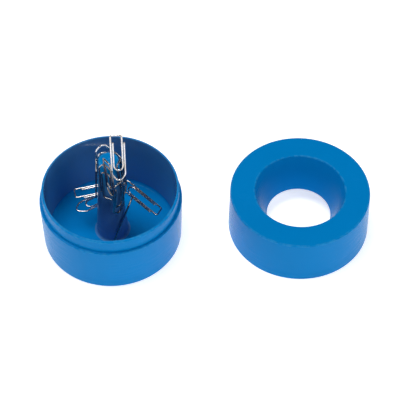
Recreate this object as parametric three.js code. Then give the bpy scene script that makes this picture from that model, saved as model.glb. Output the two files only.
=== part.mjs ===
// Magnetic paper clip holder: a stepped round cup with a tall hollow post that
// holds a column of magnets, a lift-off funnel lid standing beside it, and the
// wire clips that cling to the post. Millimetres, +Z up. The origin is the
// centre of the cup's underside, and the lid's axis is on +X.
import * as THREE from "three";

// ---- driving dimensions -------------------------------------------------

const RING_SEGMENTS = 72;        // round the cup and the lid
const POST_SEGMENTS = 36;        // round the post, the magnets and the plug
const MESH_GAP = 0.3;            // left between pieces that touch or are fitted together

// cup
const CUP_HEIGHT = 36.8;
const LEDGE_HEIGHT = 28.7;       // the lid's skirt lands here
const BODY_RADIUS = 37.05;       // just under the ledge
const FOOT_RADIUS = 36.4;        // at the surface it stands on
const SPIGOT_RADIUS = 35.6;      // the lid's skirt slides over this
const SPIGOT_ROUND = 1;          // leads the lid on
const CUP_MOUTH_RADIUS = 34.35;
const CUP_FLOOR_RADIUS = 33.4;
const CUP_FLOOR_HEIGHT = 2.4;
const FLOOR_FILLET = 1.6;
const EDGE_ROUND = 0.6;          // broken edges of the mouldings

// post
const POST_HEIGHT = 59;
const POST_TOP_RADIUS = 5.2;
const POST_FOOT_RADIUS = 8.3;
const POST_FLARE = 1.2;          // fillet where the post meets the floor
const POST_CAP = 1.6;            // thickness of the post's closed top
const BORE_FOOT_RADIUS = 6.2;
const BORE_TOP_RADIUS = 3.95;
const NECK_RADIUS = 7.4;         // passes down through the cup's floor

// magnets and plug inside the post
const MAGNET_COUNT = 3;
const MAGNET_RADIUS = 3.6;
const MAGNET_LENGTH = 12;
const MAGNET_CHAMFER = 0.3;
const PLUG_HEAD_HEIGHT = 2.5;
const PLUG_STEM_RADIUS = 3;

// lid
const LID_SPACING = 98.75;       // from the cup's axis to the lid's
const LID_HEIGHT = 27.5;
const LID_TOP_RADIUS = 36.5;
const LID_FOOT_RADIUS = 37.05;
const LID_TOP_THICKNESS = 1.7;
const SKIRT_BORE_RADIUS = 35.85; // over the spigot, with 0.25 to spare
const SKIRT_BORE_DEPTH = 8.5;
const SKIRT_UPPER_BORE_RADIUS = 35;
const FUNNEL_TOP_RADIUS = 23.5;
const FUNNEL_FOOT_RADIUS = 16.8;
const FUNNEL_FOOT_HEIGHT = 8;
const FUNNEL_WALL = 1.6;

// clips, bent from one wire
const WIRE_RADIUS = 0.45;
const WIRE_SIDES = 6;
const CLIP_LENGTH = 26;
const CLIP_OUTER = 3.4;          // half width of the outer loop, at the wire's centre
const CLIP_INNER = 2.3;          // half width of the inner loop
const CLIP_INNER_LENGTH = 20.2;  // from the flat end to the inner loop's tip
const CLIP_OUTER_TAPER = 3.3;    // length over which the outer loop narrows to its tip
const CLIP_INNER_TAPER = 1.8;
const CLIP_END_SETBACK = 4;      // from the flat end to the wire's two ends
const CLIP_BEND = 0.9;           // radius of the wire's corners
const BEND_STEPS = 3;

// ---- materials ----------------------------------------------------------

const plastic = (color) =>
  new THREE.MeshStandardMaterial({ color, roughness: 0.35, metalness: 0 });
const BLUE = 0x0079be;
const DARK_BLUE = 0x1c2a3c;
const wire = () =>
  new THREE.MeshStandardMaterial({ color: 0xb9b6b4, roughness: 0.22, metalness: 1 });
const ferrite = () =>
  new THREE.MeshStandardMaterial({ color: 0x2f2f33, roughness: 0.6, metalness: 0.3 });

// ---- helpers ------------------------------------------------------------

// A solid turned about Z from a closed outline of [radius, height] points,
// listed anticlockwise in the (radius, height) plane.
function turned(outline, segments) {
  const points = outline.map(([radius, height]) => new THREE.Vector2(radius, height));
  const geometry = new THREE.LatheGeometry(points, segments);
  return geometry.rotateX(Math.PI / 2);
}

// Points of a quarter-round or other arc, from one angle to another in degrees.
function arc(centreRadius, centreHeight, radius, from, to, steps = 3) {
  const curve = new THREE.EllipseCurve(
    centreRadius, centreHeight, radius, radius,
    THREE.MathUtils.degToRad(from), THREE.MathUtils.degToRad(to), to < from,
  );
  return curve.getPoints(steps).map((point) => [point.x, point.y]);
}

const degrees = THREE.MathUtils.degToRad;

function named(name, geometry, material) {
  const mesh = new THREE.Mesh(geometry, material);
  mesh.name = name;
  return mesh;
}

// ---- cup ----------------------------------------------------------------

function makeCup() {
  const rim = EDGE_ROUND / 2;
  const holeRadius = NECK_RADIUS + MESH_GAP;
  const outline = [
    [holeRadius, 0],
    [FOOT_RADIUS - EDGE_ROUND, 0],
    ...arc(FOOT_RADIUS - EDGE_ROUND, EDGE_ROUND, EDGE_ROUND, -90, 0).slice(1),
    ...arc(BODY_RADIUS - EDGE_ROUND, LEDGE_HEIGHT - EDGE_ROUND, EDGE_ROUND, 0, 90),
    [SPIGOT_RADIUS, LEDGE_HEIGHT],
    ...arc(SPIGOT_RADIUS - SPIGOT_ROUND, CUP_HEIGHT - SPIGOT_ROUND, SPIGOT_ROUND, 0, 90, 4),
    ...arc(CUP_MOUTH_RADIUS + rim, CUP_HEIGHT - rim, rim, 90, 180),
    ...arc(
      CUP_FLOOR_RADIUS - FLOOR_FILLET, CUP_FLOOR_HEIGHT + FLOOR_FILLET, FLOOR_FILLET, 0, -90,
    ),
    [holeRadius, CUP_FLOOR_HEIGHT],
    [holeRadius, 0],
  ];
  return named("base_cup", turned(outline, RING_SEGMENTS), plastic(BLUE));
}

// ---- post, magnets and plug ---------------------------------------------

const boreRadiusAt = (height) =>
  THREE.MathUtils.lerp(
    BORE_FOOT_RADIUS, BORE_TOP_RADIUS, height / (POST_HEIGHT - POST_CAP),
  );

function makePost() {
  const footHeight = CUP_FLOOR_HEIGHT + MESH_GAP;
  const flareRadius = POST_FOOT_RADIUS + POST_FLARE;
  const outline = [
    [0, POST_HEIGHT - POST_CAP],
    [BORE_TOP_RADIUS, POST_HEIGHT - POST_CAP],
    [BORE_FOOT_RADIUS, 0],
    [NECK_RADIUS, 0],
    [NECK_RADIUS, footHeight],
    [flareRadius, footHeight],
    ...arc(flareRadius, footHeight + POST_FLARE, POST_FLARE, -90, -180).slice(1),
    ...arc(POST_TOP_RADIUS - EDGE_ROUND, POST_HEIGHT - EDGE_ROUND, EDGE_ROUND, 0, 90),
    [0, POST_HEIGHT],
  ];
  return named("centre_post", turned(outline, POST_SEGMENTS), plastic(BLUE));
}

function makeMagnet(number, top) {
  const bottom = top - MAGNET_LENGTH;
  const face = MAGNET_RADIUS - MAGNET_CHAMFER;
  const outline = [
    [0, bottom],
    [face, bottom],
    [MAGNET_RADIUS, bottom + MAGNET_CHAMFER],
    [MAGNET_RADIUS, top - MAGNET_CHAMFER],
    [face, top],
    [0, top],
  ];
  return named(`post_magnet_${number}`, turned(outline, POST_SEGMENTS), ferrite());
}

const magnetTop = (index) =>
  POST_HEIGHT - POST_CAP - MESH_GAP - index * (MAGNET_LENGTH + MESH_GAP);

function makeMagnets() {
  return Array.from(
    { length: MAGNET_COUNT },
    (_, index) => makeMagnet(index + 1, magnetTop(index)),
  );
}

function makePlug() {
  const headRadius = boreRadiusAt(PLUG_HEAD_HEIGHT) - MESH_GAP;
  const stemTop = magnetTop(MAGNET_COUNT);
  const outline = [
    [0, 0],
    [headRadius, 0],
    [headRadius, PLUG_HEAD_HEIGHT],
    [PLUG_STEM_RADIUS, PLUG_HEAD_HEIGHT],
    [PLUG_STEM_RADIUS, stemTop],
    [0, stemTop],
  ];
  return named("post_plug", turned(outline, POST_SEGMENTS), plastic(DARK_BLUE));
}

// ---- lid ----------------------------------------------------------------

function makeLid() {
  const underTop = LID_HEIGHT - LID_TOP_THICKNESS;
  const drop = LID_HEIGHT - FUNNEL_FOOT_HEIGHT;
  const slant = (FUNNEL_TOP_RADIUS - FUNNEL_FOOT_RADIUS) / drop;
  const backRadiusAt = (height) =>
    FUNNEL_FOOT_RADIUS + FUNNEL_WALL + slant * (height - FUNNEL_FOOT_HEIGHT);
  const lip = EDGE_ROUND / 2;
  const lipEnd = 180 - THREE.MathUtils.radToDeg(Math.atan(slant));
  const outline = [
    [SKIRT_BORE_RADIUS, 0],
    [LID_FOOT_RADIUS - lip, 0],
    [LID_FOOT_RADIUS, lip],
    ...arc(LID_TOP_RADIUS - EDGE_ROUND, LID_HEIGHT - EDGE_ROUND, EDGE_ROUND, 0, 90),
    ...arc(FUNNEL_TOP_RADIUS + EDGE_ROUND, LID_HEIGHT - EDGE_ROUND, EDGE_ROUND, 90, lipEnd, 2),
    [FUNNEL_FOOT_RADIUS, FUNNEL_FOOT_HEIGHT + lip],
    [FUNNEL_FOOT_RADIUS + lip, FUNNEL_FOOT_HEIGHT],
    [backRadiusAt(FUNNEL_FOOT_HEIGHT), FUNNEL_FOOT_HEIGHT],
    [backRadiusAt(underTop), underTop],
    [SKIRT_UPPER_BORE_RADIUS, underTop],
    [SKIRT_UPPER_BORE_RADIUS, SKIRT_BORE_DEPTH],
    [SKIRT_BORE_RADIUS, SKIRT_BORE_DEPTH],
    [SKIRT_BORE_RADIUS, 0],
  ];
  const lid = named("funnel_lid", turned(outline, RING_SEGMENTS), plastic(BLUE));
  lid.position.x = LID_SPACING;
  return lid;
}

// ---- clips --------------------------------------------------------------

// The wire's corners in the clip's own plane: across the clip, then along it
// from the flat end. The wire starts inside and ends outside.
const INNER_TIP = CLIP_INNER / 2;
const OUTER_TIP = CLIP_OUTER / 3;
const WIRE_CORNERS = [
  [-CLIP_INNER, CLIP_END_SETBACK],
  [-CLIP_INNER, CLIP_INNER_LENGTH - CLIP_INNER_TAPER],
  [-INNER_TIP, CLIP_INNER_LENGTH],
  [INNER_TIP, CLIP_INNER_LENGTH],
  [CLIP_INNER, CLIP_INNER_LENGTH - CLIP_INNER_TAPER],
  [CLIP_INNER, 0],
  [-CLIP_OUTER, 0],
  [-CLIP_OUTER, CLIP_LENGTH - CLIP_OUTER_TAPER],
  [-OUTER_TIP, CLIP_LENGTH],
  [OUTER_TIP, CLIP_LENGTH],
  [CLIP_OUTER, CLIP_LENGTH - CLIP_OUTER_TAPER],
  [CLIP_OUTER, CLIP_END_SETBACK],
];

// Rounds each inner corner of a line of points with a quadratic bend.
function bent(corners) {
  const points = [corners[0]];
  for (let i = 1; i < corners.length - 1; i += 1) {
    const [before, corner, after] = [corners[i - 1], corners[i], corners[i + 1]];
    const stepBack = corner.clone().lerp(before, CLIP_BEND / corner.distanceTo(before));
    const stepOn = corner.clone().lerp(after, CLIP_BEND / corner.distanceTo(after));
    points.push(...new THREE.QuadraticBezierCurve(stepBack, corner, stepOn).getPoints(BEND_STEPS));
  }
  points.push(corners[corners.length - 1]);
  return points;
}

// A curve through the wire's points that an extrusion samples exactly at them.
class WirePath extends THREE.Curve {
  constructor(points) {
    super();
    this.points = points.map(({ x, y }) => new THREE.Vector3(x, y - CLIP_LENGTH / 2, 0));
    this.steps = points.length - 1;
  }

  getPoint(t, target = new THREE.Vector3()) {
    const place = THREE.MathUtils.clamp(t, 0, 1) * this.steps;
    const index = Math.min(Math.floor(place), this.steps - 1);
    return target.lerpVectors(this.points[index], this.points[index + 1], place - index);
  }

  getPointAt(u, target) {
    return this.getPoint(u, target);
  }

  getTangentAt(u, target = new THREE.Vector3()) {
    const half = 0.5 / this.steps;
    return target.subVectors(this.getPoint(u + half), this.getPoint(u - half)).normalize();
  }
}

function makeClipGeometry() {
  const corners = WIRE_CORNERS.map(([across, along]) => new THREE.Vector2(across, along));
  const path = new WirePath(bent(corners));
  const section = new THREE.Shape(
    Array.from({ length: WIRE_SIDES }, (_, side) => {
      const angle = (side / WIRE_SIDES) * 2 * Math.PI;
      return new THREE.Vector2(WIRE_RADIUS * Math.cos(angle), WIRE_RADIUS * Math.sin(angle));
    }),
  );
  return new THREE.ExtrudeGeometry(section, {
    steps: path.steps,
    extrudePath: path,
    bevelEnabled: false,
  });
}

// Where each clip clings: the middle of the clip, then the way its length points
// from the flat end to the outer loop (heading round from +X, slope up from
// level), and its roll about that line. Zero roll keeps its width level.
const CLIPS = [
  { middle: [5, -4, 65], heading: 270, slope: -71, roll: 2 },
  { middle: [15, 0, 28], heading: 141, slope: 18, roll: -69 },
  { middle: [-6, 10.5, 22.5], heading: 11, slope: 1, roll: 179 },
  { middle: [-7, 10.2, 14.5], heading: 211, slope: 2, roll: -2 },
  { middle: [-3.2, 6.9, 49.4], heading: -1, slope: 87.4, roll: -74.8 },
  { middle: [-6.8, 0, 45.5], heading: 0, slope: 87, roll: 0 },
  { middle: [-1.6, -7.2, 50.2], heading: 121.7, slope: 88.6, roll: -58.7 },
  { middle: [0.2, -11.3, 57.7], heading: -4.5, slope: -87.5, roll: 140.3 },
  { middle: [4.6, 5.4, 44.3], heading: 41.3, slope: -87.7, roll: 0.4 },
  { middle: [4.4, -8.4, 38.5], heading: 128.4, slope: -85.5, roll: 176.4 },
  { middle: [5.9, -8.6, 20.8], heading: 39.6, slope: 61.3, roll: 122.6 },
  { middle: [6.4, -2, 47], heading: -23.9, slope: -86.1, roll: 0.4 },
];

function makeClip(geometry, { middle, heading, slope, roll }, index) {
  const number = String(index + 1).padStart(2, "0");
  const clip = named(`paper_clip_${number}`, geometry, wire());
  const [turn, rise, twist] = [heading, slope, roll].map(degrees);
  const along = new THREE.Vector3(
    Math.cos(turn) * Math.cos(rise), Math.sin(turn) * Math.cos(rise), Math.sin(rise),
  );
  const across = new THREE.Vector3(-Math.sin(turn), Math.cos(turn), 0);
  across.applyAxisAngle(along, twist);
  const face = new THREE.Vector3().crossVectors(across, along);
  clip.quaternion.setFromRotationMatrix(new THREE.Matrix4().makeBasis(across, along, face));
  clip.position.set(...middle);
  return clip;
}

function makeClips() {
  const geometry = makeClipGeometry();
  return CLIPS.map((pose, index) => makeClip(geometry, pose, index));
}

// ---- the whole object ---------------------------------------------------

const holder = new THREE.Group();
holder.add(makeCup(), makePost(), ...makeMagnets(), makePlug(), makeLid(), ...makeClips());

export default holder;
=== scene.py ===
import math

import bpy
from mathutils import Matrix, Vector


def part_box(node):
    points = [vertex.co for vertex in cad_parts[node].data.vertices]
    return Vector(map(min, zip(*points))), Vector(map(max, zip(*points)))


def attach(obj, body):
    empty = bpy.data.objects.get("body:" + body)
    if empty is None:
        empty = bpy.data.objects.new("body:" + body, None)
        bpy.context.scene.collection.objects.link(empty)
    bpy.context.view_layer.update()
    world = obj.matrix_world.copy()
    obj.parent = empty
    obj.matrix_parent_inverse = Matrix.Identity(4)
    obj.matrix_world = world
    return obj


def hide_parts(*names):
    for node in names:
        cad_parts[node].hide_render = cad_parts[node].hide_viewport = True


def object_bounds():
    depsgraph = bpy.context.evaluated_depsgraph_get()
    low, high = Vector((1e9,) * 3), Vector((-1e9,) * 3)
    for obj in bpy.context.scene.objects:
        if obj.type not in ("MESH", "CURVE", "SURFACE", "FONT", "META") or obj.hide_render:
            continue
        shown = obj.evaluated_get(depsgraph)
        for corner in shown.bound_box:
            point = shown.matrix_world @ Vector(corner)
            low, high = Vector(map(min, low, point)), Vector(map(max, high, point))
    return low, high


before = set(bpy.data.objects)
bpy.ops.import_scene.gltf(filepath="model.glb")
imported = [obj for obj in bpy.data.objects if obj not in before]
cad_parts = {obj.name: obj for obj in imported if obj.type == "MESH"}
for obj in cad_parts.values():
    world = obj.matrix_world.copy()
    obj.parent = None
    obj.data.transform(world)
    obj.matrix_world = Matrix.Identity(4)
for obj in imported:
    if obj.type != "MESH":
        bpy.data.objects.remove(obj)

MM = 0.001
CAD_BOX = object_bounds()

# ---- what the frame says ------------------------------------------------

CUP_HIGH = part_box("base_cup")[1]
POST_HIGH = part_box("centre_post")[1]
PLUG_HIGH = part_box("post_plug")[1]
LID_LOW, LID_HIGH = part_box("funnel_lid")
LID_CENTRE = ((LID_LOW.x + LID_HIGH.x) / 2, (LID_LOW.y + LID_HIGH.y) / 2)

# ---- shapes inside those boxes ------------------------------------------

RING_SEGMENTS = 256
POST_SEGMENTS = 128
EDGE_ROUND = 0.6 * MM            # broken edges of the mouldings
LIP_ROUND = 0.3 * MM             # finer ones, at thin rims
WEAR_REACH = 0.5 * MM            # how far the wear on an edge spreads
WEAR_LEAST_RUN = 2.5 * WEAR_REACH  # a shorter straight run gets no points of its own
SHARP_ANGLE = math.radians(38)   # edges sharper than this aren't smoothed
ON_AXIS = 1e-6 * MM              # nearer than this counts as touching

# cup
BODY_RADIUS = CUP_HIGH.x
CUP_HEIGHT = CUP_HIGH.z
LEDGE_HEIGHT = CUP_HEIGHT - 8.1 * MM
FOOT_RADIUS = BODY_RADIUS - 0.65 * MM
SPIGOT_RADIUS = BODY_RADIUS - 1.45 * MM
SPIGOT_ROUND = 1 * MM            # leads the lid on
CUP_MOUTH_RADIUS = SPIGOT_RADIUS - 1.25 * MM
CUP_FLOOR_RADIUS = CUP_MOUTH_RADIUS - 0.95 * MM
CUP_FLOOR_HEIGHT = 2.4 * MM
FLOOR_FILLET = 1.6 * MM
FOOT_RING_WIDTH = 3.2 * MM       # the underside is a touch hollow inside this ring
UNDERSIDE_RECESS = 0.35 * MM
HOLE_RADIUS = 7.7 * MM

# post
POST_TOP_RADIUS = 5.2 * MM
POST_FOOT_RADIUS = 8.3 * MM
POST_FLARE = POST_HIGH.x - POST_FOOT_RADIUS
POST_CAP = 1.6 * MM
BORE_FOOT_RADIUS = 6.2 * MM
BORE_TOP_RADIUS = 3.95 * MM
NECK_RADIUS = 7.5 * MM
GATE_RADIUS = 0.9 * MM           # the witness left where the plastic was let in
GATE_FLOOR_RADIUS = 0.72 * MM
GATE_DEPTH = 0.12 * MM

# plug
PLUG_HEAD_HEIGHT = 2.5 * MM
PLUG_STEM_RADIUS = 3 * MM
PLUG_DISH_DEPTH = 0.3 * MM
PLUG_DISH_FLOOR = 0.55           # shares of the head's radius
PLUG_DISH_MOUTH = 0.62

# lid
LID_HEIGHT = LID_HIGH.z
LID_FOOT_RADIUS = (LID_HIGH.x - LID_LOW.x) / 2
LID_TOP_RADIUS = LID_FOOT_RADIUS - 0.55 * MM
LID_TOP_THICKNESS = 1.7 * MM
SKIRT_BORE_RADIUS = LID_FOOT_RADIUS - 1.2 * MM
SKIRT_BORE_DEPTH = 8.5 * MM
SKIRT_UPPER_BORE_RADIUS = SKIRT_BORE_RADIUS - 0.85 * MM
FUNNEL_TOP_RADIUS = 23.5 * MM
FUNNEL_FOOT_RADIUS = 16.8 * MM
FUNNEL_FOOT_HEIGHT = 8 * MM
FUNNEL_WALL = 1.6 * MM

# clips, bent from one wire
WIRE_RADIUS = 0.43 * MM
WIRE_SIDES = 16
CLIP_LENGTH = 26 * MM
CLIP_OUTER = 3.4 * MM            # half width of the outer loop, at the wire's centre
CLIP_INNER = 2.3 * MM            # half width of the inner loop
CLIP_INNER_LENGTH = 20.2 * MM    # from the flat end to the inner loop's tip
CLIP_END_SETBACK = 4 * MM        # from the flat end to the wire's two ends
CLIP_INNER_TAPER = 1.8 * MM      # length over which the inner loop narrows to its tip
CLIP_OUTER_TAPER = 3.3 * MM
CLIP_BEND = 1.15 * MM            # how far each corner's bend reaches along the wire
BEND_STEPS = 8
BEND_SHARE = 0.49                # the most of a short run that one bend takes up
STRAIGHT_STEP = 0.9 * MM
END_BREAK = 0.07 * MM            # broken edge of a cut end
END_BREAK_WEAR = 0.6             # how far that edge shows bare steel

# The clips as the CAD places them: the middle in millimetres, the way the length
# points from the flat end to the outer loop (heading and slope in degrees), and
# the roll about that line.
CLIPS = [
    ((5, -4, 65), 270, -71, 2),
    ((15, 0, 28), 141, 18, -69),
    ((-6, 10.5, 22.5), 11, 1, 179),
    ((-7, 10.2, 14.5), 211, 2, -2),
    ((-3.2, 6.9, 49.4), -1, 87.4, -74.8),
    ((-6.8, 0, 45.5), 0, 87, 0),
    ((-1.6, -7.2, 50.2), 121.7, 88.6, -58.7),
    ((0.2, -11.3, 57.7), -4.5, -87.5, 140.3),
    ((4.6, 5.4, 44.3), 41.3, -87.7, 0.4),
    ((4.4, -8.4, 38.5), 128.4, -85.5, 176.4),
    ((5.9, -8.6, 20.8), 39.6, 61.3, 122.6),
    ((6.4, -2, 47), -23.9, -86.1, 0.4),
]

BRIGHT_CLIPS = (1, 2, 3, 4, 5)   # these keep the plain wire; the rest get a darker copy of it, a painted shade

# ---- camera and studio --------------------------------------------------

CAMERA_TARGET = Vector((0.0474, 0.0185, 0))
CAMERA_AZIMUTH = math.radians(3.1)
CAMERA_ELEVATION = math.radians(51.494)
CAMERA_DISTANCE = 0.9366
CAMERA_LENS = 156.166
CAMERA_SENSOR = 36
CAMERA_CLIP = (0.05, 20)         # nearest and farthest distance drawn

STUDIO_CENTRE = Vector(((CAD_BOX[0].x + CAD_BOX[1].x) / 2, 0, 0))
FLOOR_RADIUS = 2.0
FLOOR_SEGMENTS = 96
FLOOR_FLAT_RINGS = 4
FLOOR_SWEEP = 0.5                # the floor curves up at its edge to this height
FLOOR_SWEEP_STEPS = 12
FLOOR_DROP = 0.05 * MM           # keeps the floor clear of the undersides
FLOOR_GLOW = 0.68
WORLD_GLOW = 0.01
LAMP_DISTANCE = 1.4
LAMPS = [                        # name, angle round, angle up, size, power
    ("overhead", 150, 76, 0.95, 13.1),
    ("fill", 320, 45, 0.8, 4.8),
]

# ---- mesh helpers -------------------------------------------------------

def arc(centre_radius, centre_height, radius, start, end, steps=8):
    """Points of an arc in the (radius, height) plane, from one angle to another in degrees."""
    points = []
    for step in range(steps + 1):
        angle = math.radians(start + (end - start) * step / steps)
        points.append((
            centre_radius + radius * math.cos(angle),
            centre_height + radius * math.sin(angle),
            1.0,
        ))
    return points


def flat(*points):
    """Plain outline points, away from any rubbed edge."""
    return [(radius, height, 0.0) for radius, height in points]


def with_wear_ends(outline):
    """Adds a point on each straight run beside a rubbed edge, where the wear ends."""
    detailed = []
    for here, there in zip(outline, outline[1:]):
        detailed.append(here)
        run = math.dist(here[:2], there[:2])
        if run > WEAR_LEAST_RUN:
            for share in (WEAR_REACH / run, 1 - WEAR_REACH / run):
                detailed.append((
                    here[0] + (there[0] - here[0]) * share,
                    here[1] + (there[1] - here[1]) * share,
                    0.0,
                ))
    detailed.append(outline[-1])
    return detailed


def new_object(name, verts, faces):
    mesh = bpy.data.meshes.new(name)
    mesh.from_pydata(verts, [], faces)
    mesh.validate()
    mesh.shade_smooth()
    mesh.set_sharp_from_angle(angle=SHARP_ANGLE)
    obj = bpy.data.objects.new(name, mesh)
    bpy.context.scene.collection.objects.link(obj)
    return obj


def turned(name, outline, segments, centre=(0, 0)):
    """A solid turned about the upright line through centre, from an anticlockwise outline
    of (radius, height, wear) points that closes on itself or starts and ends on that line."""
    outline = with_wear_ends(outline)
    closed = math.dist(outline[0][:2], outline[-1][:2]) < ON_AXIS
    if closed:
        outline = outline[:-1]
    verts, wear, rings = [], [], []
    for radius, height, worn in outline:
        count = segments if radius > ON_AXIS else 1
        rings.append(range(len(verts), len(verts) + count))
        for step in range(count):
            angle = 2 * math.pi * step / segments
            verts.append((
                centre[0] + radius * math.cos(angle),
                centre[1] + radius * math.sin(angle),
                height,
            ))
            wear.append(worn)
    faces = []
    pairs = list(zip(rings, rings[1:])) + ([(rings[-1], rings[0])] if closed else [])
    for lower, upper in pairs:
        for step in range(segments):
            after = (step + 1) % segments
            if len(lower) == 1:
                faces.append((lower[0], upper[after], upper[step]))
            elif len(upper) == 1:
                faces.append((lower[step], lower[after], upper[0]))
            else:
                faces.append((lower[step], lower[after], upper[after], upper[step]))
    obj = new_object(name, verts, faces)
    attribute = obj.data.attributes.new("wear", "FLOAT", "POINT")
    attribute.data.foreach_set("value", wear)
    return obj


# ---- material helpers ---------------------------------------------------

class Nodes:
    """A material's node tree, with one call for each node that is added."""

    def __init__(self, name):
        self.material = bpy.data.materials.new(name)
        self.material.use_nodes = True
        self.tree = self.material.node_tree
        self.shader = self.tree.nodes["Principled BSDF"]

    def add(self, kind, inputs=(), **settings):
        node = self.tree.nodes.new(kind)
        for key, value in settings.items():
            setattr(node, key, value)
        for key, value in dict(inputs).items():
            self.put(value, node.inputs[key])
        return node

    def put(self, value, socket):
        if isinstance(value, bpy.types.NodeSocket):
            self.tree.links.new(value, socket)
        else:
            socket.default_value = value

    def place(self, stretch=(1, 1, 1)):
        where = self.add("ShaderNodeTexCoord")
        scaled = self.add(
            "ShaderNodeMapping", {"Vector": where.outputs["Object"], "Scale": stretch}
        )
        return scaled.outputs["Vector"]

    def noise(self, vector, scale, detail=3.0, roughness=0.55):
        made = self.add("ShaderNodeTexNoise", {
            "Vector": vector, "Scale": scale, "Detail": detail, "Roughness": roughness,
        })
        return made.outputs["Fac"]

    def remap(self, value, low, high, to_low, to_high):
        made = self.add("ShaderNodeMapRange", {
            "Value": value, "From Min": low, "From Max": high,
            "To Min": to_low, "To Max": to_high,
        })
        return made.outputs["Result"]

    def maths(self, operation, a, b):
        made = self.add("ShaderNodeMath", {0: a, 1: b}, operation=operation)
        return made.outputs["Value"]

    def mix(self, share, a, b):
        made = self.add("ShaderNodeMix", data_type="RGBA")
        self.put(share, made.inputs["Factor"])
        self.put(a, made.inputs[6])
        self.put(b, made.inputs[7])
        return made.outputs[2]

    def bump(self, height, distance, under=None):
        inputs = {"Height": height, "Distance": distance}
        if under is not None:
            inputs["Normal"] = under
        return self.add("ShaderNodeBump", inputs).outputs["Normal"]

    def attribute(self, name, output="Fac"):
        return self.add("ShaderNodeAttribute", attribute_name=name).outputs[output]

    def finish(self, **sockets):
        names = {
            "base": "Base Color", "metallic": "Metallic", "roughness": "Roughness",
            "specular": "Specular IOR Level", "normal": "Normal",
            "emission": "Emission Color", "emission_strength": "Emission Strength",
        }
        for key, value in sockets.items():
            self.put(value, self.shader.inputs[names[key]])
        return self.material


def tinted(colour, factor):
    return (*(min(1.0, part * factor) for part in colour[:3]), 1.0)


# ---- materials ----------------------------------------------------------

BLUE = (0.0, 0.227, 0.61, 1.0)
BLUE_WORN = (0.03, 0.30, 0.65, 1.0)
# the greyer, darker blue below is painted: painted shade, with a painted sheen in its grey; it
# goes on the inner cup wall and the lower post
BLUE_SHADE_AND_SHEEN = (0.085, 0.225, 0.50, 1.0)
# the inner wall takes it from just above the cup's floor upwards
WALL_SHADE_HEIGHTS = (CUP_FLOOR_HEIGHT + 0.5 * MM, CUP_FLOOR_HEIGHT + 2 * MM)
# the post takes it from 3 mm below its top, fully from 22 mm below, so darker towards the bottom
POST_SHADE_HEIGHTS = (POST_HIGH.z - 3 * MM, POST_HIGH.z - 22 * MM)
PLUG_BLUE = (0.0, 0.12, 0.33, 1.0)
PLUG_BLUE_WORN = (0.03, 0.18, 0.40, 1.0)

# scales of the noises, in repeats a metre, and heights of the bumps they make
FLOW_SCALE = 28
SPECKLE_SCALE = 2600
RUB_SCALE = 420
PEEL_SCALE, PEEL_HEIGHT = 900, 0.004 * MM
TOOL_LINE_STRETCH, TOOL_LINE_HEIGHT = (60, 60, 5200), 0.002 * MM
SCRATCH_STRETCH, SCRATCH_DEPTH = (240, 1900, 700), 0.003 * MM
MIDDLE = (0.3, 0.7)              # the range in which a soft noise mostly lies


def moulded_plastic(name, colour, worn, gloss=0.22, specular=0.05, seed=0.0, shade_heights=None):
    """Satin injection-moulded plastic: faint flow marks, fine tool lines round the turned walls,
    orange peel, small scratches, and edges rubbed paler and duller. The shade heights give the
    heights between which the blue turns to a greyer, darker one: a painted shade, with a painted
    sheen in its grey."""
    n = Nodes(name)
    place = n.place()
    shifted = n.add("ShaderNodeVectorMath", {0: place, 1: (seed, seed, seed)}).outputs["Vector"]
    flow = n.noise(shifted, FLOW_SCALE, 2.0)
    speckle = n.noise(shifted, SPECKLE_SCALE, 2.0)
    base = n.mix(n.remap(flow, *MIDDLE, 0, 1), tinted(colour, 0.97), tinted(colour, 1.03))
    # painted shade and sheen: between the given heights the blue turns greyer and darker
    if shade_heights:
        height = n.add("ShaderNodeSeparateXYZ", {0: place}).outputs["Z"]
        share = n.maths(
            "MULTIPLY", n.remap(height, *shade_heights, 0, 1), n.remap(flow, *MIDDLE, 0.85, 1)
        )
        base = n.mix(share, base, BLUE_SHADE_AND_SHEEN)
    base = n.mix(n.remap(speckle, 0.35, 0.65, 0, 0.25), base, tinted(colour, 0.93))
    tool_lines = n.noise(n.place(TOOL_LINE_STRETCH), 1.0, 2.0)
    scratches = n.noise(n.place(SCRATCH_STRETCH), 1.0, 5.0, 0.7)
    scratched = n.remap(scratches, 0.66, 0.72, 0, 1)
    patchy = n.remap(n.noise(shifted, RUB_SCALE, 4.0), 0.42, 0.62, 0, 1)
    rubbed = n.maths("MULTIPLY", n.attribute("wear"), patchy)
    base = n.mix(n.maths("MULTIPLY", rubbed, 0.6), base, worn)
    rough = n.remap(flow, *MIDDLE, gloss - 0.03, gloss + 0.03)
    rough = n.maths("ADD", rough, n.remap(tool_lines, *MIDDLE, 0, 0.06))
    rough = n.maths("ADD", rough, n.maths("MULTIPLY", scratched, 0.12))
    rough = n.maths("ADD", rough, n.maths("MULTIPLY", rubbed, 0.18))
    peel = n.bump(n.noise(shifted, PEEL_SCALE, 2.0), PEEL_HEIGHT)
    lined = n.bump(tool_lines, TOOL_LINE_HEIGHT, under=peel)
    marked = n.bump(n.maths("MULTIPLY", scratched, -1.0), SCRATCH_DEPTH, under=lined)
    return n.finish(base=base, roughness=rough, specular=specular, normal=marked)


# the wire's own colours; the warm second one is a painted warm reflection
BRIGHT_PLATING = (0.80, 0.80, 0.81, 1.0)
BRIGHT_WARM_REFLECTION = (0.72, 0.66, 0.60, 1.0)
# a darker copy of the wire's colours: painted shade on the clips that get it, with its warm
# colour a painted reflection
SHADED_PLATING = (0.36, 0.36, 0.37, 1.0)
SHADED_WARM_REFLECTION = (0.31, 0.29, 0.275, 1.0)
CLOUD_SCALE = 160
PIT_SCALE, PIT_HEIGHT = 5200, 0.002 * MM
DRAWING_STRETCH, DRAWING_HEIGHT = (9, 9, 60), 0.004 * MM


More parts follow.
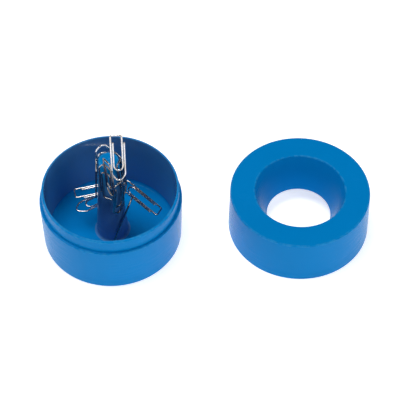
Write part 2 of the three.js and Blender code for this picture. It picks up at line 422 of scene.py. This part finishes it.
def drawn_wire(name, plating, warm_tint):
    """Nickel-plated steel wire: lengthwise drawing lines, cloudy plating with warm patches in
    places, which are a painted warm reflection, and bare duller steel on the cut ends."""
    n = Nodes(name)
    lay = n.attribute("wire_place", "Vector")
    drawn = n.add("ShaderNodeMapping", {"Vector": lay, "Scale": DRAWING_STRETCH})
    lines = n.noise(drawn.outputs["Vector"], 1.0, 3.0)
    clouds = n.noise(n.place(), CLOUD_SCALE, 3.0)
    pits = n.noise(n.place(), PIT_SCALE, 2.0)
    # the warm patches mixed in here are a painted warm reflection
    silver = n.mix(n.remap(clouds, 0.42, 0.66, 0, 1), plating, warm_tint)
    silver = n.mix(n.remap(pits, 0.64, 0.72, 0, 0.3), silver, tinted(warm_tint, 0.5))
    cut = n.attribute("cut_end")
    base = n.mix(cut, silver, tinted(plating, 0.45))
    rough = n.remap(clouds, 0.35, 0.65, 0.11, 0.2)
    rough = n.maths("ADD", rough, n.remap(lines, 0.35, 0.65, 0, 0.06))
    rough = n.maths("ADD", rough, n.maths("MULTIPLY", cut, 0.25))
    normal = n.bump(pits, PIT_HEIGHT, under=n.bump(lines, DRAWING_HEIGHT))
    return n.finish(base=base, metallic=1.0, roughness=rough, normal=normal)


FERRITE_DARK = (0.022, 0.022, 0.025, 1.0)
FERRITE_GREY = (0.05, 0.049, 0.05, 1.0)
FERRITE_GRAIN = (0.10, 0.10, 0.11, 1.0)
FERRITE_CHIPPED = (0.13, 0.13, 0.135, 1.0)
GRAIN_SCALE, GRAIN_HEIGHT = 3800, 0.02 * MM
PATCH_SCALE = 190
CHIP_SCALE = 900


def sintered_ferrite():
    """Dark sintered magnet: fine grain, ground faces and a few chipped edges."""
    n = Nodes("ferrite")
    place = n.place()
    grain = n.noise(place, GRAIN_SCALE, 4.0)
    patches = n.noise(place, PATCH_SCALE, 3.0)
    chips = n.remap(n.noise(place, CHIP_SCALE, 3.0), 0.5, 0.6, 0, 1)
    base = n.mix(n.remap(patches, 0.35, 0.65, 0, 1), FERRITE_DARK, FERRITE_GREY)
    base = n.mix(n.remap(grain, 0.55, 0.68, 0, 0.5), base, FERRITE_GRAIN)
    base = n.mix(n.maths("MULTIPLY", n.attribute("wear"), chips), base, FERRITE_CHIPPED)
    rough = n.remap(grain, 0.35, 0.65, 0.48, 0.72)
    return n.finish(
        base=base, roughness=rough, specular=0.5, normal=n.bump(grain, GRAIN_HEIGHT)
    )


FLOOR_PALE = (0.80, 0.80, 0.80, 1.0)
FLOOR_PALER = (0.82, 0.82, 0.82, 1.0)
FLOOR_CLOUD_SCALE = 3


def studio_white():
    """The floor: plain pale, glowing a little so that nothing casts a hard shadow on it."""
    n = Nodes("studio_white")
    clouds = n.noise(n.place(), FLOOR_CLOUD_SCALE, 2.0)
    base = n.mix(n.remap(clouds, *MIDDLE, 0, 1), FLOOR_PALE, FLOOR_PALER)
    return n.finish(
        base=base, roughness=0.9, specular=0.0,
        emission=(1, 1, 1, 1), emission_strength=FLOOR_GLOW,
    )


# ---- cup, post and lid --------------------------------------------------

def add_piece(piece, node, body, material):
    piece.data.materials.append(material)
    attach(piece, body)
    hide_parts(node)
    return piece


def make_cup(material, inside):
    rim = LIP_ROUND
    recess = UNDERSIDE_RECESS
    ring_in = FOOT_RADIUS - FOOT_RING_WIDTH
    outline = [
        *flat((HOLE_RADIUS, recess), (ring_in - recess, recess), (ring_in, 0)),
        *arc(FOOT_RADIUS - EDGE_ROUND, EDGE_ROUND, EDGE_ROUND, -90, 0),
        *arc(BODY_RADIUS - EDGE_ROUND, LEDGE_HEIGHT - EDGE_ROUND, EDGE_ROUND, 0, 90),
        *flat((SPIGOT_RADIUS, LEDGE_HEIGHT)),
        *arc(SPIGOT_RADIUS - SPIGOT_ROUND, CUP_HEIGHT - SPIGOT_ROUND, SPIGOT_ROUND, 0, 90, 12),
        *arc(CUP_MOUTH_RADIUS + rim, CUP_HEIGHT - rim, rim, 90, 180, 6),
        *flat(*(
            point[:2] for point in arc(
                CUP_FLOOR_RADIUS - FLOOR_FILLET, CUP_FLOOR_HEIGHT + FLOOR_FILLET,
                FLOOR_FILLET, 0, -90,
            )
        )),
        *flat((HOLE_RADIUS, CUP_FLOOR_HEIGHT), (HOLE_RADIUS, recess)),
    ]
    cup = turned("cup_moulding", outline, RING_SEGMENTS)
    add_piece(cup, "base_cup", "holder", material)
    cup.data.materials.append(inside)
    wall_foot = CUP_FLOOR_HEIGHT + FLOOR_FILLET
    wall_least = CUP_FLOOR_RADIUS - LIP_ROUND
    wall_most = CUP_MOUTH_RADIUS + LIP_ROUND / 2
    for face in cup.data.polygons:
        radius = math.hypot(face.center.x, face.center.y)
        if wall_least < radius < wall_most and face.center.z > wall_foot:
            face.material_index = 1
    return cup


def make_post(material):
    height = POST_HIGH.z
    flare_radius = POST_FOOT_RADIUS + POST_FLARE
    foot = CUP_FLOOR_HEIGHT
    bore_top = height - POST_CAP
    flare = arc(flare_radius, foot + POST_FLARE, POST_FLARE, -90, -180)
    outline = [
        *flat((0, bore_top), (BORE_TOP_RADIUS, bore_top), (BORE_FOOT_RADIUS, 0)),
        *flat((NECK_RADIUS, 0), (NECK_RADIUS, foot)),
        *flat(*(point[:2] for point in flare)),
        *arc(POST_TOP_RADIUS - EDGE_ROUND, height - EDGE_ROUND, EDGE_ROUND, 0, 90),
        *flat((GATE_RADIUS, height), (GATE_FLOOR_RADIUS, height - GATE_DEPTH)),
        *flat((0, height - GATE_DEPTH)),
    ]
    post = turned("post_moulding", outline, POST_SEGMENTS)
    return add_piece(post, "centre_post", "holder", material)


def make_lid(material):
    under_top = LID_HEIGHT - LID_TOP_THICKNESS
    drop = LID_HEIGHT - FUNNEL_FOOT_HEIGHT
    slant = (FUNNEL_TOP_RADIUS - FUNNEL_FOOT_RADIUS) / drop
    lean = math.degrees(math.atan(1 / slant))
    lip = LIP_ROUND

    def back_radius_at(height):
        return FUNNEL_FOOT_RADIUS + FUNNEL_WALL + slant * (height - FUNNEL_FOOT_HEIGHT)

    outline = [
        *flat((SKIRT_BORE_RADIUS + lip, 0)),
        *arc(LID_FOOT_RADIUS - lip, lip, lip, -90, 0, 6),
        *arc(LID_TOP_RADIUS - EDGE_ROUND, LID_HEIGHT - EDGE_ROUND, EDGE_ROUND, 0, 90),
        *arc(FUNNEL_TOP_RADIUS + EDGE_ROUND, LID_HEIGHT - EDGE_ROUND, EDGE_ROUND, 90, 90 + lean),
        *arc(FUNNEL_FOOT_RADIUS + lip, FUNNEL_FOOT_HEIGHT + lip, lip, 180, 270, 6),
        *flat((back_radius_at(FUNNEL_FOOT_HEIGHT), FUNNEL_FOOT_HEIGHT)),
        *flat((back_radius_at(under_top), under_top)),
        *flat((SKIRT_UPPER_BORE_RADIUS, under_top)),
        *flat((SKIRT_UPPER_BORE_RADIUS, SKIRT_BORE_DEPTH)),
        *flat((SKIRT_BORE_RADIUS, SKIRT_BORE_DEPTH)),
        *flat((SKIRT_BORE_RADIUS, lip), (SKIRT_BORE_RADIUS + lip, 0)),
    ]
    lid = turned("lid_moulding", outline, RING_SEGMENTS, LID_CENTRE)
    return add_piece(lid, "funnel_lid", "lid", material)


# ---- magnets and plug ---------------------------------------------------

def make_magnet(node, material):
    low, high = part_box(node)
    radius = high.x
    round_ = LIP_ROUND
    outline = [
        *flat((0, low.z)),
        *arc(radius - round_, low.z + round_, round_, -90, 0, 4),
        *arc(radius - round_, high.z - round_, round_, 0, 90, 4),
        *flat((0, high.z)),
    ]
    magnet = turned(node.replace("post_magnet", "magnet"), outline, POST_SEGMENTS)
    return add_piece(magnet, node, "holder", material)


def make_magnets(material):
    for node in sorted(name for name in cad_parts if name.startswith("post_magnet")):
        make_magnet(node, material)


def make_plug(material):
    head, stem, top = PLUG_HIGH.x, PLUG_STEM_RADIUS, PLUG_HIGH.z
    round_ = LIP_ROUND
    outline = [
        *flat((0, PLUG_DISH_DEPTH), (head * PLUG_DISH_FLOOR, PLUG_DISH_DEPTH)),
        *flat((head * PLUG_DISH_MOUTH, 0)),
        *arc(head - round_, round_, round_, -90, 0, 4),
        *arc(head - round_, PLUG_HEAD_HEIGHT - round_, round_, 0, 90, 4),
        *flat((stem, PLUG_HEAD_HEIGHT)),
        *arc(stem - round_, top - round_, round_, 0, 90, 4),
        *flat((0, top)),
    ]
    plug = turned("plug_moulding", outline, POST_SEGMENTS)
    return add_piece(plug, "post_plug", "holder", material)


# ---- clips --------------------------------------------------------------

def wire_corners():
    """The wire's corners in the clip's own plane, across the clip and then along it from
    the flat end. The wire starts inside and ends outside."""
    inner_tip = CLIP_INNER / 2
    outer_tip = CLIP_OUTER / 3
    inner_shoulder = CLIP_INNER_LENGTH - CLIP_INNER_TAPER
    outer_shoulder = CLIP_LENGTH - CLIP_OUTER_TAPER
    corners = [
        (-CLIP_INNER, CLIP_END_SETBACK),
        (-CLIP_INNER, inner_shoulder),
        (-inner_tip, CLIP_INNER_LENGTH),
        (inner_tip, CLIP_INNER_LENGTH),
        (CLIP_INNER, inner_shoulder),
        (CLIP_INNER, 0),
        (-CLIP_OUTER, 0),
        (-CLIP_OUTER, outer_shoulder),
        (-outer_tip, CLIP_LENGTH),
        (outer_tip, CLIP_LENGTH),
        (CLIP_OUTER, outer_shoulder),
        (CLIP_OUTER, CLIP_END_SETBACK),
    ]
    return [Vector((across, along - CLIP_LENGTH / 2, 0)) for across, along in corners]


def bent(corners):
    """A line of points with each inner corner rounded, and straight runs in short steps."""
    points = [corners[0]]

    def run_to(target):
        start = points[-1]
        steps = max(1, round((target - start).length / STRAIGHT_STEP))
        points.extend(start.lerp(target, step / steps) for step in range(1, steps + 1))

    for before, corner, after in zip(corners, corners[1:], corners[2:]):
        reach_in = min(CLIP_BEND, BEND_SHARE * (corner - before).length)
        reach_out = min(CLIP_BEND, BEND_SHARE * (after - corner).length)
        step_back = corner + (before - corner).normalized() * reach_in
        step_on = corner + (after - corner).normalized() * reach_out
        run_to(step_back)
        for step in range(1, BEND_STEPS + 1):
            t = step / BEND_STEPS
            points.append(step_back.lerp(corner, t).lerp(corner.lerp(step_on, t), t))
    run_to(corners[-1])
    return points


def wire(name, points):
    """A round wire along points in one plane, with cut ends whose edges are broken."""
    up = Vector((0, 0, 1))
    first = (points[1] - points[0]).normalized()
    last = (points[-1] - points[-2]).normalized()
    stations = [(points[0], first, WIRE_RADIUS - END_BREAK, 1.0)]
    stations.append((points[0] + first * END_BREAK, first, WIRE_RADIUS, END_BREAK_WEAR))
    for before, here, after in zip(points, points[1:], points[2:]):
        stations.append((here, (after - before).normalized(), WIRE_RADIUS, 0.0))
    stations.append((points[-1] - last * END_BREAK, last, WIRE_RADIUS, END_BREAK_WEAR))
    stations.append((points[-1], last, WIRE_RADIUS - END_BREAK, 1.0))
    verts, place, cut, along = [], [], [], 0.0
    for index, (here, tangent, radius, worn) in enumerate(stations):
        if index:
            along += (here - stations[index - 1][0]).length
        side = tangent.cross(up)
        for step in range(WIRE_SIDES):
            angle = 2 * math.pi * step / WIRE_SIDES
            verts.append(here + (side * math.cos(angle) + up * math.sin(angle)) * radius)
            place.extend((math.cos(angle), math.sin(angle), along))
            cut.append(worn)
    faces = []
    for ring in range(len(stations) - 1):
        for step in range(WIRE_SIDES):
            a = ring * WIRE_SIDES + step
            b = ring * WIRE_SIDES + (step + 1) % WIRE_SIDES
            faces.append((a, a + WIRE_SIDES, b + WIRE_SIDES, b))
    faces.append(tuple(range(WIRE_SIDES)))
    faces.append(tuple(reversed(range(len(verts) - WIRE_SIDES, len(verts)))))
    obj = new_object(name, verts, faces)
    lay = obj.data.attributes.new("wire_place", "FLOAT_VECTOR", "POINT")
    lay.data.foreach_set("vector", place)
    ends = obj.data.attributes.new("cut_end", "FLOAT", "POINT")
    ends.data.foreach_set("value", cut)
    return obj


def clip_matrix(middle, heading, slope, roll):
    turn, rise = math.radians(heading), math.radians(slope)
    along = Vector((
        math.cos(turn) * math.cos(rise), math.sin(turn) * math.cos(rise), math.sin(rise),
    ))
    level = Vector((-math.sin(turn), math.cos(turn), 0))
    across = Matrix.Rotation(math.radians(roll), 3, along) @ level
    face = across.cross(along)
    turned_to = Matrix((across, along, face)).transposed().to_4x4()
    return Matrix.Translation(Vector(middle) * MM) @ turned_to


def make_clip(number, placing, points, material):
    clip = wire(f"wire_clip_{number:02d}", points)
    clip.data.transform(clip_matrix(*placing))
    return add_piece(clip, f"paper_clip_{number:02d}", f"clip_{number:02d}", material)


def make_clips(bright, dark):
    line = bent(wire_corners())
    for number, placing in enumerate(CLIPS, start=1):
        # clips not in BRIGHT_CLIPS get the darker wire: painted shade
        make_clip(number, placing, line, bright if number in BRIGHT_CLIPS else dark)


# ---- studio -------------------------------------------------------------

def make_floor():
    """A round floor whose edge curves up, so that low views still see pale floor."""
    profile = [
        (FLOOR_RADIUS * ring / FLOOR_FLAT_RINGS, 0) for ring in range(1, FLOOR_FLAT_RINGS + 1)
    ]
    for step in range(1, FLOOR_SWEEP_STEPS + 1):
        angle = math.radians(90 * step / FLOOR_SWEEP_STEPS)
        profile.append((
            FLOOR_RADIUS + FLOOR_SWEEP * math.sin(angle),
            FLOOR_SWEEP * (1 - math.cos(angle)),
        ))
    verts, faces = [], []
    for radius, height in profile:
        for step in range(FLOOR_SEGMENTS):
            angle = 2 * math.pi * step / FLOOR_SEGMENTS
            verts.append(STUDIO_CENTRE + Vector((
                radius * math.cos(angle), radius * math.sin(angle), height - FLOOR_DROP,
            )))
    for ring in range(len(profile) - 1):
        for step in range(FLOOR_SEGMENTS):
            a = ring * FLOOR_SEGMENTS + step
            b = ring * FLOOR_SEGMENTS + (step + 1) % FLOOR_SEGMENTS
            faces.append((a, b, b + FLOOR_SEGMENTS, a + FLOOR_SEGMENTS))
    faces.append(tuple(range(FLOOR_SEGMENTS)))
    floor = new_object("studio_floor", verts, faces)
    floor.data.materials.append(studio_white())


def add_lamp(name, azimuth, elevation, size, power):
    """A round soft lamp, seen from the object at that angle round from +X and up from level."""
    lamp = bpy.data.lights.new(name, "AREA")
    lamp.shape = "DISK"
    lamp.size = size
    lamp.energy = power
    obj = bpy.data.objects.new(name, lamp)
    bpy.context.scene.collection.objects.link(obj)
    towards = Vector((
        math.cos(elevation) * math.cos(azimuth),
        math.cos(elevation) * math.sin(azimuth),
        math.sin(elevation),
    ))
    obj.location = STUDIO_CENTRE + towards * LAMP_DISTANCE
    obj.rotation_euler = (-towards).to_track_quat("-Z", "Y").to_euler()


def make_studio():
    world = bpy.data.worlds.new("studio")
    world.use_nodes = True
    world.node_tree.nodes["Background"].inputs["Color"].default_value = (1, 1, 1, 1)
    world.node_tree.nodes["Background"].inputs["Strength"].default_value = WORLD_GLOW
    bpy.context.scene.world = world
    for name, azimuth, elevation, size, power in LAMPS:
        add_lamp(name, math.radians(azimuth), math.radians(elevation), size, power)
    make_floor()


def make_camera():
    data = bpy.data.cameras.new("camera")
    data.lens = CAMERA_LENS
    data.sensor_width = CAMERA_SENSOR
    data.clip_start, data.clip_end = CAMERA_CLIP
    camera = bpy.data.objects.new("camera", data)
    bpy.context.scene.collection.objects.link(camera)
    back = Vector((
        -math.sin(CAMERA_AZIMUTH) * math.cos(CAMERA_ELEVATION),
        -math.cos(CAMERA_AZIMUTH) * math.cos(CAMERA_ELEVATION),
        math.sin(CAMERA_ELEVATION),
    ))
    camera.location = CAMERA_TARGET + back * CAMERA_DISTANCE
    camera.rotation_euler = (-back).to_track_quat("-Z", "Y").to_euler()
    bpy.context.scene.camera = camera


def set_view():
    view = bpy.context.scene.view_settings
    view.view_transform = "Standard"
    view.look = "None"
    view.exposure = 0
    view.gamma = 1


# ---- the whole scene ----------------------------------------------------

make_camera()
set_view()
make_studio()

make_cup(
    moulded_plastic("cup_plastic", BLUE, BLUE_WORN, seed=0.11),
    # the inner wall's copy carries the painted shade and sheen
    moulded_plastic(
        "cup_inside", BLUE, BLUE_WORN, gloss=0.06, specular=0.45, seed=0.19, shade_heights=WALL_SHADE_HEIGHTS,
    ),
)
# the post carries the painted shade on its lower part
make_post(moulded_plastic("post_plastic", BLUE, BLUE_WORN, seed=0.37, shade_heights=POST_SHADE_HEIGHTS))
make_lid(moulded_plastic("lid_plastic", BLUE, BLUE_WORN, seed=0.71))
make_plug(moulded_plastic(
    "plug_plastic", PLUG_BLUE, PLUG_BLUE_WORN, gloss=0.5, specular=0.3, seed=0.93,
))
make_magnets(sintered_ferrite())
# the second wire is the darker one: painted shade
make_clips(
    drawn_wire("clip_wire_bright", BRIGHT_PLATING, BRIGHT_WARM_REFLECTION),
    drawn_wire("clip_wire_painted_shade", SHADED_PLATING, SHADED_WARM_REFLECTION),
)
